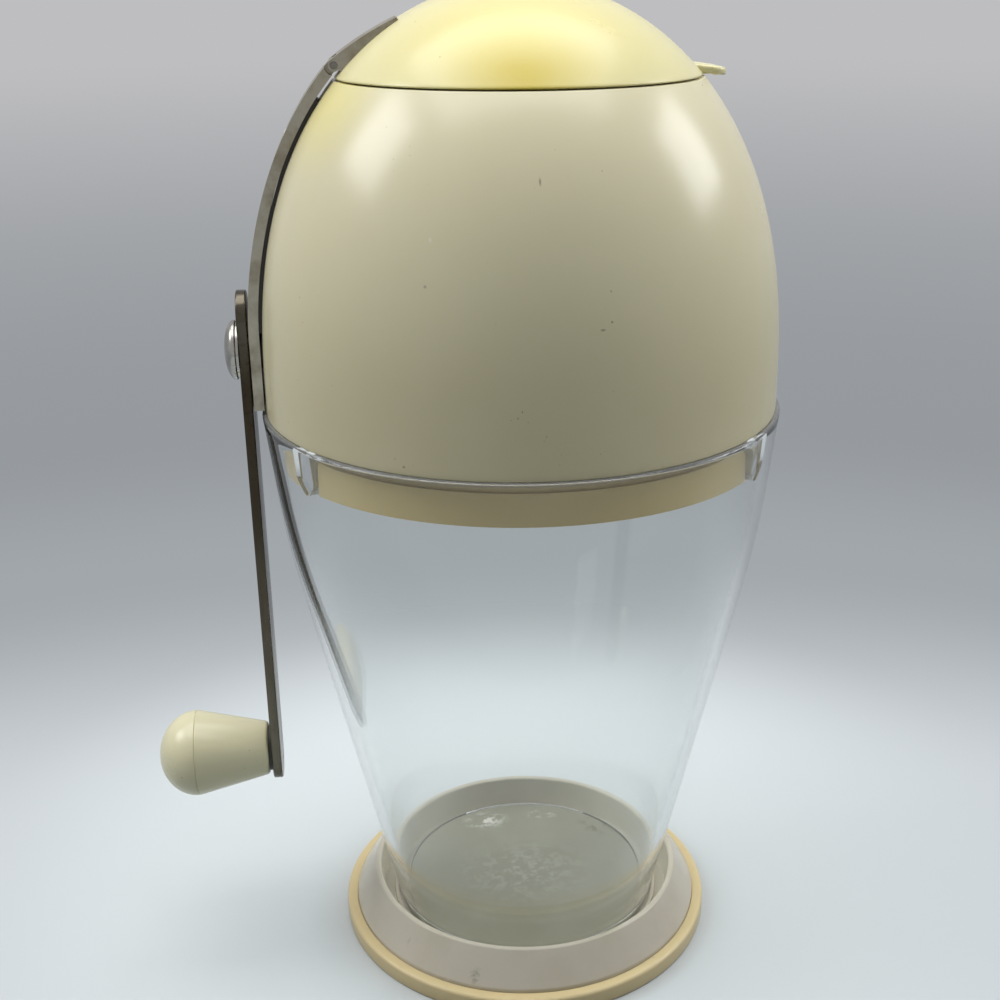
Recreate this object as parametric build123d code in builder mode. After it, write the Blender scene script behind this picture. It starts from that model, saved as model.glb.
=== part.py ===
from build123d import *
from math import cos, hypot, radians, sin
import os

# Ice shaver with a side crank: an egg-shaped head with a tip-up lid stands on a clear
# tumbler, which stands in a flared foot. Z is up, the origin is the middle of the
# underside, the crank is on the -X side and the lid's thumb tab on the +X side.

# ---------------------------------------------------------------- driving sizes (mm)
# Foot
ring_shelf = 3.0
ring_height = 4.9
ring_chamfer = 0.5
pad_inset = 3.0
pad_thickness = 2.5
skirt_spread = 5.6
skirt_lip = 0.9
crest_width = 1.5
well_room = 5.7
well_draft = 0.9
cup_height = 14.3
cup_floor = 2.5
cup_wall = 2.0
rib_width = 1.2
rib_height = 1.2

# Tumbler
rim_radius = 65.8
rim_height = 153.5
neck_drop = 18.5
shoulder_length = 30.0
neck_taper = 0.107
cone_taper = 0.226
tumbler_wall = 2.8
tumbler_corner = 2.5
disc_thickness = 4.0
disc_ledge = 1.1
lug_width = 7.2
lug_height = 12.0
lug_depth_inside = 2.4
lug_pair_angle = 114.0
tumbler_turn = -2.5

# Head
hood_set_in = 1.2
egg_rise = 6.5
lid_seam_rise = 79.0
lid_rise = 21.5
egg_shoulder = 2.4
egg_tip = 2.0
hood_wall = 2.6
skirt_drop = 11.2
skirt_wall = 2.4
skirt_groove = 0.7
skirt_groove_height = 3.3
deck_rise = 3.5
deck_thickness = 3.0
deck_boss_radius = 7.0
deck_boss_bite = 0.3
deck_boss_height = 12.0
deck_screw_grip = 6.0

# Crusher
shaft_rise = 15.2
box_length = 56.0
box_depth = 50.0
box_wall = 3.0
box_drop = 13.0
box_head = 23.3
box_flange = 6.5
box_flange_thickness = 2.5
blade_count = 7
blade_pitch = 6.0
blade_thickness = 2.0
blade_tip_radius = 18.0
blade_root_radius = 13.5
blade_teeth = 8
spacer_radius = 8.0
comb_bar = 3.0
comb_height = 10.0
comb_tooth = 2.4
comb_reach = 9.6
hex_flats = 9.0
journal_radius = 3.6
bush_radius = 4.8
bush_inset = 0.2
bearing_boss_length = 7.0
bush_flange = 7.0
bush_flange_thickness = 1.5
circlip_radius = 6.2
circlip_thickness = 1.0
circlip_groove = 0.7

# Hopper
hopper_room = 2.7
hopper_throat = 21.5
hopper_wall = 2.0
hopper_foot = 33.0

# Lid
lid_wall = 2.4
lid_gap = 0.4
lip_room = 0.9
lip_wall = 1.5
lip_drop = 2.9
tab_width = 17.0
tab_reach = 5.1
tab_thickness = 2.2
tab_droop = 0.6
tab_flat = 0.5
tab_root_rise = 3.3

# Strap and lid hinge
strap_gap = 0.2
strap_lift = 0.7
strap_thickness = 2.5
strap_width = 12.0
strap_foot_gap = 1.0
strap_bend_rise = 3.3
hinge_rise = 2.3
knuckle_radius = 1.4
knuckle_width = 4.4
knuckle_relief = 0.9
hinge_pin_radius = 0.8
hinge_pin_proud = 0.35
leaf_rise = 11.2
leaf_tip_thickness = 0.35
strap_screw_rise = 29.3
strap_screw_spacing = 22.0
spacer_disc_radius = 3.4
leaf_screw_rise = 4.5
leaf_screw_turn = 5.2

# Crank
crank_throw = 113.2
arm_thickness = 2.5
arm_width = 13.0
arm_tail = 14.9
arm_toe = 8.7
arm_gap = 0.25
arm_edge = 0.4
square_flats = 5.0
stud_radius = 2.0
stud_length = 2.9
nut_radius = 7.4
nut_rise = 3.2
nut_brim = 0.6
washer_radius = 7.0
washer_thickness = 0.6

# Knob
knob_washer_thickness = 0.8
knob_washer_radius = 6.2
spindle_radius = 3.0
spindle_head_radius = 4.6
spindle_head_thickness = 2.0
knob_small_radius = 7.2
knob_big_radius = 11.6
knob_grip_length = 19.2
knob_length = 29.6
knob_edge = 0.8
cap_spigot_radius = 7.0
cap_spigot_length = 3.0
knob_pocket_depth = 6.0

# Screws
screw_radius = 1.5
screw_head_radius = 2.8
screw_head_thickness = 1.8
screw_boss_wall = 3.0
screw_boss_depth = 4.0
small_screw_radius = 0.9
small_screw_head_radius = 1.7
small_screw_head_thickness = 1.0

# Clearances
fit_gap = 0.05
running_gap = 0.06
loose_gap = 0.4
seat_gap = 0.2

# ---------------------------------------------------------------- worked out from them
neck_height = rim_height - neck_drop
shoulder_height = neck_height - shoulder_length
hood_radius = rim_radius - hood_set_in
egg_low = rim_height + egg_rise
lid_seam = rim_height + lid_seam_rise
lid_top = lid_seam + lid_rise
shaft_height = rim_height + shaft_rise
box_top = shaft_height + box_head
deck_boss_circle = hood_radius - hood_wall - deck_boss_radius + deck_boss_bite
hinge_height = lid_seam + hinge_rise
leaf_tip_height = hinge_height + leaf_rise
leaf_screw_height = hinge_height + leaf_screw_rise
strap_bend_height = shaft_height + strap_bend_rise
strap_screw_heights = [shaft_height + strap_screw_rise + strap_screw_spacing * i for i in range(2)]
cup_floor_top = pad_thickness + cup_floor
disc_top = cup_floor_top + disc_thickness
skirt_bottom = rim_height - skirt_drop
deck_low = rim_height + deck_rise
deck_high = deck_low + deck_thickness
strap_bottom = rim_height + strap_foot_gap
strap_flat = hood_radius + strap_gap + strap_thickness
strap_top_out = strap_lift + strap_thickness
hinge_out = strap_top_out - knuckle_radius
arm_inside = strap_flat + arm_gap
arm_outside = arm_inside + arm_thickness
lid_bottom = lid_seam + lid_gap
lip_bottom = lid_seam - lip_drop
hopper_top = lip_bottom - 2 * loose_gap
box_bottom = deck_high - box_drop
box_inner_length = box_length - 2 * box_wall
box_inner_depth = box_depth - 2 * box_wall
knob_height = shaft_height - crank_throw


def egg_radius(z):
    """Outside radius of the egg shape of hood and lid at height z."""
    rise = max(z - egg_low, 0) / (lid_top - egg_low)
    return hood_radius * (1 - rise**egg_shoulder) ** (1 / egg_tip)


def egg_normal(z):
    """Outward normal of the egg's outline at height z, as (radial, up)."""
    step = 0.01
    slope = (egg_radius(z + step) - egg_radius(z - step)) / (2 * step)
    size = hypot(1, slope)
    return 1 / size, -slope / size


def egg_point(z, out):
    """Point of the outline at height z, moved outward by a distance."""
    radial, up = egg_normal(z)
    return egg_radius(z) + out * radial, z + out * up


def egg_level(z, out):
    """Radius at height z of the outline moved outward by a distance."""
    low, high = rim_height, lid_top - 0.5
    for _ in range(40):
        middle = (low + high) / 2
        if egg_point(middle, out)[1] < z:
            low = middle
        else:
            high = middle
    return egg_point(low, out)[0]


def egg_height(radius, out):
    """Height where the outline moved outward by a distance has this radius."""
    low, high = egg_low, lid_top - 1
    for _ in range(40):
        middle = (low + high) / 2
        if egg_point(middle, out)[0] > radius:
            low = middle
        else:
            high = middle
    return egg_point(low, out)[1]


def egg_run(low, high, out, count=9):
    """Points up the outline between two heights, closer together near the top."""
    steps = [1 - (1 - i / (count - 1)) ** 1.5 for i in range(count)]
    return [(egg_level(low + (high - low) * s, out), low + (high - low) * s) for s in steps]


def skin_plane(z, azimuth=180.0):
    """Plane that touches the egg at a height and azimuth, its normal outward."""
    radial, up = egg_normal(z)
    ca, sa = cos(radians(azimuth)), sin(radians(azimuth))
    radius = egg_radius(z)
    return Plane(
        origin=(radius * ca, radius * sa, z),
        x_dir=(-sa, ca, 0),
        z_dir=(radial * ca, radial * sa, up),
    )


def tumbler_radius(z):
    """Outside radius of the tumbler: steep neck, curved shoulder, straight cone."""
    neck_radius = rim_radius - neck_taper * (rim_height - neck_height)
    if z >= neck_height:
        return rim_radius - neck_taper * (rim_height - z)
    bend = (cone_taper - neck_taper) / (neck_height - shoulder_height) / 2
    down = min(neck_height - z, neck_height - shoulder_height)
    radius = neck_radius - neck_taper * down - bend * down**2
    return radius - cone_taper * max(shoulder_height - z, 0)


def radial_plane(radius, azimuth, z=0.0):
    """Upright plane at a radius, facing outward, with its x axis level."""
    ca, sa = cos(radians(azimuth)), sin(radians(azimuth))
    return Plane(origin=(radius * ca, radius * sa, z), x_dir=(-sa, ca, 0), z_dir=(ca, sa, 0))


def side_plane(x, z=0.0):
    """Plane square to the shaft, its normal along -X, its x axis along -Y."""
    return Plane(origin=(x, 0, z), x_dir=(0, -1, 0), z_dir=(-1, 0, 0))


def finish(builder, name):
    """Name a finished piece and write it."""
    builder.part.label = name
    export_step(builder.part, f"parts/{name}.step")


os.makedirs("parts", exist_ok=True)
foot_radius = tumbler_radius(cup_floor_top)
well_radius = foot_radius + well_room
crest_radius = well_radius + crest_width
skirt_radius = crest_radius + skirt_spread
ring_radius = skirt_radius + ring_shelf
pad_radius = skirt_radius - pad_inset
mouth_radius = egg_level(lid_seam, -hood_wall)
lip_radius = mouth_radius - lip_room
hopper_mouth = mouth_radius - hopper_room
lug_azimuths = (
    -90 + tumbler_turn - lug_pair_angle / 2,
    -90 + tumbler_turn + lug_pair_angle / 2,
    90 + tumbler_turn,
)

# ---------------------------------------------------------------- foot
with BuildPart() as base_pad:
    with BuildSketch():
        Circle(pad_radius)
    extrude(amount=pad_thickness)
finish(base_pad, "base_pad")

with BuildPart() as base_ring:
    with BuildSketch(Plane.XZ):
        with BuildLine():
            Polyline(
                (pad_radius + fit_gap, 0),
                (ring_radius, 0),
                (ring_radius, ring_height),
                (skirt_radius + fit_gap, ring_height),
                (skirt_radius + fit_gap, pad_thickness),
                (pad_radius + fit_gap, pad_thickness),
                close=True,
            )
        make_face()
    revolve(axis=Axis.Z)
    chamfer(base_ring.edges().group_by(Axis.Z)[-1].sort_by(SortBy.RADIUS)[-1], ring_chamfer)
finish(base_ring, "base_ring")

skirt_low = ring_height + skirt_lip
skirt_slope = (cup_height - skirt_low) / (skirt_radius - crest_radius)
cavity_inner = well_radius + cup_wall
cavity_outer = skirt_radius - cup_wall
cavity_low = skirt_low - cup_wall / 2
with BuildPart() as base_cup:
    with BuildSketch(Plane.XZ):
        with BuildLine():
            Polyline(
                (0, pad_thickness),
                (skirt_radius, pad_thickness),
                (skirt_radius, skirt_low),
                (crest_radius, cup_height),
                (well_radius, cup_height),
                (well_radius - well_draft, cup_floor_top),
                (0, cup_floor_top),
                close=True,
            )
        make_face()
        with BuildLine():
            Polyline(
                (cavity_inner - well_draft, pad_thickness),
                (cavity_outer, pad_thickness),
                (cavity_outer, cavity_low),
                (cavity_inner, cavity_low + (cavity_outer - cavity_inner) * skirt_slope),
                close=True,
            )
        make_face(mode=Mode.SUBTRACT)
    revolve(axis=Axis.Z)
    rim_edges = base_cup.edges().group_by(Axis.Z)[-1]
    fillet(rim_edges, 0.45 * (crest_radius - well_radius))
    with BuildSketch(Plane.XY.offset(cup_floor_top)):
        Circle(foot_radius + loose_gap + rib_width)
        Circle(foot_radius + loose_gap, mode=Mode.SUBTRACT)
    extrude(amount=rib_height)
finish(base_cup, "base_cup")

# ---------------------------------------------------------------- tumbler
disc_radius = tumbler_radius(disc_top) - tumbler_wall + disc_ledge


def tumbler_side(inset, low):
    """Draw the tumbler's side from the rim down to a height, moved in by a distance."""
    shoulder = [neck_height + (shoulder_height - neck_height) * i / 4 for i in range(5)]
    curve = [(tumbler_radius(z) - inset, z) for z in shoulder]
    Line((rim_radius - inset, rim_height), curve[0])
    Spline(*curve, tangents=[(-neck_taper, -1), (-cone_taper, -1)])
    Line(curve[-1], (tumbler_radius(low) - inset, low))


with BuildPart() as container:
    with BuildSketch(Plane.XZ):
        with BuildLine():
            tumbler_side(0, cup_floor_top)
            Line((foot_radius, cup_floor_top), (disc_radius, cup_floor_top))
            Line((disc_radius, cup_floor_top), (disc_radius, disc_top))
            Line((disc_radius, disc_top), (tumbler_radius(disc_top) - tumbler_wall, disc_top))
            tumbler_side(tumbler_wall, disc_top)
            Line((rim_radius - tumbler_wall, rim_height), (rim_radius, rim_height))
        make_face()
    revolve(axis=Axis.Z)
    corner = container.edges().group_by(Axis.Z)[0].sort_by(SortBy.RADIUS)[-1]
    fillet(corner, min(tumbler_corner, 0.8 * (foot_radius - disc_radius)))
    fillet(container.edges().group_by(Axis.Z)[-1], 0.25 * tumbler_wall)
    lug_top = rim_height - loose_gap
    lug_low = lug_top - lug_height
    lug_inner = rim_radius - tumbler_wall - lug_depth_inside - neck_taper * lug_height
    lug_outer = tumbler_radius(lug_low) - 0.3 * tumbler_wall
    for azimuth in lug_azimuths:
        with BuildSketch(radial_plane(lug_inner, azimuth)):
            with BuildLine():
                Polyline(
                    (-lug_width / 2, lug_top),
                    (lug_width / 2, lug_top),
                    (lug_width / 2, lug_low + lug_width / 2),
                    (lug_width / 6, lug_low),
                    (-lug_width / 6, lug_low),
                    (-lug_width / 2, lug_low + lug_width / 2),
                    close=True,
                )
            make_face()
        extrude(amount=lug_outer - lug_inner)
finish(container, "container")

with BuildPart() as container_floor:
    with BuildSketch(Plane.XY.offset(cup_floor_top)):
        Circle(disc_radius - fit_gap)
    extrude(amount=disc_thickness)
finish(container_floor, "container_floor")

# ---------------------------------------------------------------- hood
screw_planes = [skin_plane(z) for z in strap_screw_heights]
deck_screw_azimuths = (-90, 0, 90)
screw_boss_radius = screw_radius + screw_boss_wall
screw_reach = hood_wall + screw_boss_depth
hood_bore = egg_level(shaft_height, -hood_wall)
bearing_boss_end = hood_bore - bearing_boss_length

with BuildPart() as hood:
    with BuildSketch(Plane.XZ):
        with BuildLine():
            outer = Spline(*egg_run(rim_height, lid_seam, 0))
            inner = Spline(*egg_run(rim_height, lid_seam, -hood_wall))
            Line(outer @ 1, inner @ 1)
            Line(outer @ 0, inner @ 0)
        make_face()
    revolve(axis=Axis.Z)
    for plane in screw_planes:
        with BuildSketch(plane.offset(-hood_wall / 2)):
            Circle(screw_boss_radius)
        extrude(amount=-screw_reach + hood_wall / 2)
    with BuildSketch(side_plane(-bearing_boss_end, shaft_height)):
        Circle(bush_flange)
    extrude(amount=bearing_boss_length + hood_wall / 2)
    for azimuth in deck_screw_azimuths:
        spot = radial_plane(deck_boss_circle, azimuth).origin
        with BuildSketch(Plane.XY.offset(deck_high)):
            with Locations((spot.X, spot.Y)):
                Circle(deck_boss_radius)
        extrude(amount=deck_boss_height)
        with Locations((spot.X, spot.Y, deck_high)):
            Hole(screw_radius + fit_gap, depth=deck_boss_height - hood_wall)
    with BuildSketch(side_plane(0, shaft_height)):
        Circle(bush_radius + fit_gap)
    extrude(amount=hood_radius + hood_wall, mode=Mode.SUBTRACT)
    for plane in screw_planes:
        with BuildSketch(plane.offset(hood_wall)):
            Circle(screw_radius + fit_gap)
        extrude(amount=-2 * hood_wall - screw_reach, mode=Mode.SUBTRACT)
finish(hood, "hood")

# ---------------------------------------------------------------- chassis and crusher box
box_hole_length = box_length + 2 * seat_gap
box_hole_depth = box_depth + 2 * seat_gap
flange_screw_x = box_length / 2 + box_flange / 2 + seat_gap
flange_screw_y = box_depth / 2 - box_flange
flange_screw_spots = [(sx * flange_screw_x, sy * flange_screw_y) for sx in (-1, 1) for sy in (-1, 1)]
deck_spots = [radial_plane(deck_boss_circle, azimuth).origin for azimuth in deck_screw_azimuths]
skirt_outer = rim_radius - tumbler_wall - neck_taper * skirt_drop - 0.6
deck_edge = egg_radius(deck_high) - hood_wall - seat_gap

with BuildPart() as chassis:
    with BuildSketch(Plane.XZ):
        with BuildLine():
            Polyline(
                (skirt_outer - skirt_wall, skirt_bottom),
                (skirt_outer, skirt_bottom),
                (skirt_outer, rim_height - skirt_groove_height),
                (skirt_outer - skirt_groove, rim_height - skirt_groove_height),
                (skirt_outer - skirt_groove, deck_low),
                (deck_edge, deck_low),
                (deck_edge, deck_high),
                (0, deck_high),
                (0, deck_low),
                (skirt_outer - skirt_wall, deck_low),
                close=True,
            )
        make_face()
    revolve(axis=Axis.Z)
    with BuildSketch(Plane.XY.offset(deck_low)):
        Rectangle(box_hole_length, box_hole_depth)
        with Locations(*flange_screw_spots):
            Circle(screw_radius + fit_gap)
        with Locations(*[(spot.X, spot.Y) for spot in deck_spots]):
            Circle(screw_radius + fit_gap)
    extrude(amount=deck_thickness, mode=Mode.SUBTRACT)
    for azimuth in lug_azimuths:
        with BuildSketch(radial_plane(skirt_outer - 2 * skirt_wall, azimuth, skirt_bottom)):
            with Locations((0, (skirt_drop + deck_rise) / 2)):
                Rectangle(lug_width + 2 * loose_gap, skirt_drop + deck_rise)
        extrude(amount=3 * skirt_wall, mode=Mode.SUBTRACT)
finish(chassis, "chassis")

comb_face = box_inner_depth / 2 - comb_bar
comb_spots = [-blade_pitch * blade_count / 2 + blade_pitch * i for i in range(blade_count + 1)]
comb_screw_x = 2.5 * blade_pitch
wall_bore = bush_radius + fit_gap

with BuildPart() as crusher_box:
    with BuildSketch(Plane.XY.offset(box_bottom)):
        Rectangle(box_length, box_depth)
        Rectangle(box_inner_length, box_inner_depth, mode=Mode.SUBTRACT)
    extrude(amount=box_top - box_bottom)
    with BuildSketch(Plane.XY.offset(deck_high)):
        Rectangle(box_length + 2 * box_flange, box_depth + 2 * box_flange)
        Rectangle(box_inner_length, box_inner_depth, mode=Mode.SUBTRACT)
        with Locations(*flange_screw_spots):
            Circle(screw_radius + fit_gap, mode=Mode.SUBTRACT)
    extrude(amount=box_flange_thickness)
    with BuildSketch(side_plane(-box_length, shaft_height)):
        Circle(wall_bore)
    extrude(amount=-2 * box_length, mode=Mode.SUBTRACT)
    with BuildSketch(Plane.XZ.offset(-box_depth)):
        with Locations((-comb_screw_x, shaft_height), (comb_screw_x, shaft_height)):
            Circle(screw_radius + fit_gap)
    extrude(amount=2 * box_depth, mode=Mode.SUBTRACT)
finish(crusher_box, "crusher_box")


def screw(plane, length):
    """Pan-head screw: its head stands on the plane, its stem goes the other way."""
    with Locations(plane):
        Cylinder(screw_head_radius, screw_head_thickness, align=(Align.CENTER, Align.CENTER, Align.MIN))
        Cylinder(screw_radius, length, align=(Align.CENTER, Align.CENTER, Align.MAX))


with BuildPart() as chassis_screws:
    for x, y in flange_screw_spots:
        screw(Plane((x, y, deck_high + box_flange_thickness)), box_flange_thickness + deck_thickness)
    for spot in deck_spots:
        screw(Plane((spot.X, spot.Y, deck_low), z_dir=(0, 0, -1)), deck_thickness + deck_screw_grip)
finish(chassis_screws, "chassis_screws")

with BuildPart() as comb_screws:
    for side in (-1, 1):
        for x in (-comb_screw_x, comb_screw_x):
            outside = Plane((x, side * box_depth / 2, shaft_height), z_dir=(0, side, 0))
            screw(outside, box_wall + comb_bar - seat_gap)
finish(comb_screws, "comb_screws")

for side, name in ((-1, "comb_front"), (1, "comb_back")):
    with BuildPart() as comb:
        with BuildSketch(Plane.XY.offset(shaft_height - comb_height / 2)):
            with Locations((0, side * (comb_face + comb_bar / 2))):
                Rectangle(box_inner_length - 2 * seat_gap, comb_bar)
            with Locations(*[(x, side * (comb_reach + comb_face + comb_bar / 2) / 2) for x in comb_spots]):
                Rectangle(comb_tooth, comb_face + comb_bar / 2 - comb_reach)
        extrude(amount=comb_height)
        with BuildSketch(Plane.XZ.offset(-side * (comb_face + comb_bar))):
            with Locations((-comb_screw_x, shaft_height), (comb_screw_x, shaft_height)):
                Circle(screw_radius + fit_gap)
        extrude(amount=side * comb_bar, mode=Mode.SUBTRACT)
    finish(comb, name)

# ---------------------------------------------------------------- shaft, blades and bushes
stack_half = box_inner_length / 2 - bush_flange_thickness - seat_gap
hex_radius = hex_flats / 2 / cos(radians(30))
square_end = arm_outside - fit_gap
journal_end = arm_inside - fit_gap
circlip_low = box_length / 2 + seat_gap
shaft_tail = circlip_low + 3 * circlip_thickness
blade_spots = [blade_pitch * (i - (blade_count - 1) / 2) for i in range(blade_count)]

with BuildPart() as main_shaft:
    with BuildSketch(side_plane(stack_half, shaft_height)):
        RegularPolygon(hex_radius, 6)
    extrude(amount=2 * stack_half)
    with BuildSketch(side_plane(shaft_tail, shaft_height)):
        Circle(journal_radius)
    extrude(amount=shaft_tail + journal_end)
    with BuildSketch(side_plane(-journal_end, shaft_height)):
        Rectangle(square_flats, square_flats)
    extrude(amount=square_end - journal_end)
    with BuildSketch(side_plane(-square_end, shaft_height)):
        Circle(stud_radius)
    extrude(amount=stud_length)
    with BuildSketch(side_plane(circlip_low + circlip_thickness + fit_gap, shaft_height)):
        Circle(journal_radius + fit_gap)
        Circle(journal_radius - circlip_groove, mode=Mode.SUBTRACT)
    extrude(amount=circlip_thickness + 2 * fit_gap, mode=Mode.SUBTRACT)
finish(main_shaft, "main_shaft")

with BuildPart() as toothed_blades:
    for i, x in enumerate(blade_spots):
        lean = 360 / blade_teeth / blade_count * i
        teeth = []
        for tooth in range(blade_teeth):
            for radius, turn in ((blade_root_radius, 0), (blade_tip_radius, 8), (blade_tip_radius, 14)):
                angle = radians(360 / blade_teeth * tooth + turn + lean)
                teeth.append((radius * cos(angle), radius * sin(angle)))
        with BuildSketch(side_plane(x + blade_thickness / 2, shaft_height)):
            with BuildLine():
                Polyline(*teeth, close=True)
            make_face()
            RegularPolygon(hex_radius + 2 * fit_gap, 6, mode=Mode.SUBTRACT)
        extrude(amount=blade_thickness)
finish(toothed_blades, "toothed_blades")

half_stack = blade_thickness / 2 + fit_gap
spacer_ends = [(-stack_half, blade_spots[0] - half_stack)]
spacer_ends += [(a + half_stack, b - half_stack) for a, b in zip(blade_spots, blade_spots[1:])]
spacer_ends.append((blade_spots[-1] + half_stack, stack_half))
with BuildPart() as blade_spacers:
    for low, high in spacer_ends:
        with BuildSketch(side_plane(high, shaft_height)):
            Circle(spacer_radius)
            RegularPolygon(hex_radius + 2 * fit_gap, 6, mode=Mode.SUBTRACT)
        extrude(amount=high - low)
finish(blade_spacers, "blade_spacers")

with BuildPart() as circlip:
    with BuildSketch(side_plane(circlip_low + circlip_thickness, shaft_height)):
        Circle(circlip_radius)
        Circle(journal_radius - circlip_groove + fit_gap, mode=Mode.SUBTRACT)
        with Locations((circlip_radius, 0)):
            Rectangle(2 * circlip_radius, 0.6 * circlip_radius, mode=Mode.SUBTRACT)
    extrude(amount=circlip_thickness)
finish(circlip, "circlip")

with BuildPart() as inner_bushes:
    for side in (-1, 1):
        with BuildSketch(side_plane(side * box_length / 2, shaft_height)):
            Circle(bush_radius)
            Circle(journal_radius + running_gap, mode=Mode.SUBTRACT)
        extrude(amount=side * box_wall)
        with BuildSketch(side_plane(side * box_inner_length / 2, shaft_height)):
            Circle(bush_flange)
            Circle(journal_radius + running_gap, mode=Mode.SUBTRACT)
        extrude(amount=side * bush_flange_thickness)
finish(inner_bushes, "inner_bushes")

with BuildPart() as outer_bush:
    with BuildSketch(side_plane(-bearing_boss_end, shaft_height)):
        Circle(bush_radius)
        Circle(journal_radius + running_gap, mode=Mode.SUBTRACT)
    extrude(amount=strap_flat - bush_inset - bearing_boss_end)
    with BuildSketch(side_plane(-bearing_boss_end, shaft_height)):
        Circle(bush_flange)
        Circle(journal_radius + running_gap, mode=Mode.SUBTRACT)
    extrude(amount=-bush_flange_thickness)
finish(outer_bush, "outer_bush")

# ---------------------------------------------------------------- hopper
with BuildPart() as hopper:
    with BuildSketch(Plane.XZ):
        with BuildLine():
            Polyline(
                (hopper_throat, box_top),
                (hopper_foot, box_top),
                (hopper_foot, box_top + hopper_wall),
                (hopper_throat + hopper_wall, box_top + hopper_wall),
                (hopper_mouth + hopper_wall, hopper_top - 3 * hopper_wall),
                (hopper_mouth + hopper_wall, hopper_top),
                (hopper_mouth, hopper_top),
                (hopper_mouth, hopper_top - 3 * hopper_wall),
                (hopper_throat, box_top + hopper_wall),
                close=True,
            )
        make_face()
    revolve(axis=Axis.Z)
finish(hopper, "hopper")

# ---------------------------------------------------------------- strap and hinge
hinge_spot = egg_point(hinge_height, hinge_out)
hinge_plane = Plane.XZ.offset(-strap_width / 2)
bend_heights = [strap_bend_height + (hinge_height - strap_bend_height) * i / 6 for i in range(1, 7)]
upward = egg_normal(hinge_height)


def strap_side(out, start):
    """One side of the strap's bent part, from the flat part up to the hinge."""
    run = [(-start, strap_bend_height)]
    for z in bend_heights:
        radius, height = egg_point(z, out)
        run.append((-radius, height))
    return Spline(*run, tangents=[(0, 1), (upward[1], upward[0])])


def hinge_round(radius, width, offset=0.0, mode=Mode.ADD):
    """Round bar of one width on the hinge line, its middle moved along the line."""
    with Locations((-hinge_spot[0], offset, hinge_spot[1])):
        Cylinder(radius, width, rotation=(90, 0, 0), mode=mode)


leaf_knuckle = (strap_width - knuckle_width) / 2 - seat_gap
leaf_offset = (strap_width - leaf_knuckle) / 2
relief_radius = knuckle_radius + knuckle_relief
relief_width = leaf_knuckle + seat_gap
relief_offset = (strap_width - relief_width) / 2

with BuildPart() as strap:
    with BuildSketch(hinge_plane):
        with BuildLine():
            inner = strap_side(strap_lift, strap_flat - strap_thickness)
            outer = strap_side(strap_top_out, strap_flat)
            Line(inner @ 1, outer @ 1)
            Line(outer @ 0, (-strap_flat, strap_bottom))
            Line((-strap_flat, strap_bottom), (-strap_flat + strap_thickness, strap_bottom))
            Line((-strap_flat + strap_thickness, strap_bottom), inner @ 0)
        make_face()
    extrude(amount=strap_width)
    for offset in (-relief_offset, relief_offset):
        hinge_round(relief_radius, relief_width, offset, Mode.SUBTRACT)
    hinge_round(knuckle_radius, knuckle_width)
    hinge_round(hinge_pin_radius + fit_gap, strap_width, mode=Mode.SUBTRACT)
    with BuildSketch(side_plane(0, shaft_height)):
        Circle(bush_radius + fit_gap)
    extrude(amount=2 * strap_flat, mode=Mode.SUBTRACT)
    for plane in screw_planes:
        with BuildSketch(plane):
            Circle(screw_radius + fit_gap)
        extrude(amount=2 * strap_top_out, mode=Mode.SUBTRACT)
        with BuildSketch(plane.offset(strap_top_out)):
            Circle(screw_head_radius + 2 * fit_gap)
        extrude(amount=screw_radius - screw_head_radius - fit_gap, taper=45, mode=Mode.SUBTRACT)
finish(strap, "strap")

with BuildPart() as strap_screws:
    for plane in screw_planes:
        with BuildSketch(plane.offset(strap_top_out - fit_gap)):
            Circle(screw_head_radius)
        extrude(amount=screw_radius - screw_head_radius + fit_gap, taper=45)
        with BuildSketch(plane.offset(strap_top_out - fit_gap - 0.5)):
            Circle(screw_radius)
        extrude(amount=-strap_top_out - screw_reach + hood_wall)
finish(strap_screws, "strap_screws")

with BuildPart() as strap_spacers:
    for plane in screw_planes:
        with BuildSketch(plane.offset(-seat_gap)):
            Circle(spacer_disc_radius)
            Circle(screw_radius + fit_gap, mode=Mode.SUBTRACT)
        extrude(amount=strap_lift + 2 * seat_gap)
    add(hood.part, mode=Mode.SUBTRACT)
    add(strap.part, mode=Mode.SUBTRACT)
finish(strap_spacers, "strap_spacers")

with BuildPart() as hinge_pin:
    hinge_round(hinge_pin_radius, strap_width + 2 * hinge_pin_proud)
finish(hinge_pin, "hinge_pin")


# ---------------------------------------------------------------- lid
def crown(low, out):
    """Outline of the egg's cap, moved outward by a distance, up to the axis."""
    top = lid_top + out
    start = egg_normal(low)
    run = egg_run(low, top - 1.2, out, 7)
    return Spline(*run, (0, top), tangents=[(-start[1], start[0]), (-1, 0)])


lid_screw_planes = [skin_plane(leaf_screw_height, 180 + turn) for turn in (-leaf_screw_turn, leaf_screw_turn)]
tab_tip = egg_radius(lid_seam) + tab_reach
tab_root = egg_point(lid_bottom + tab_root_rise, -lid_wall / 2)

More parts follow.
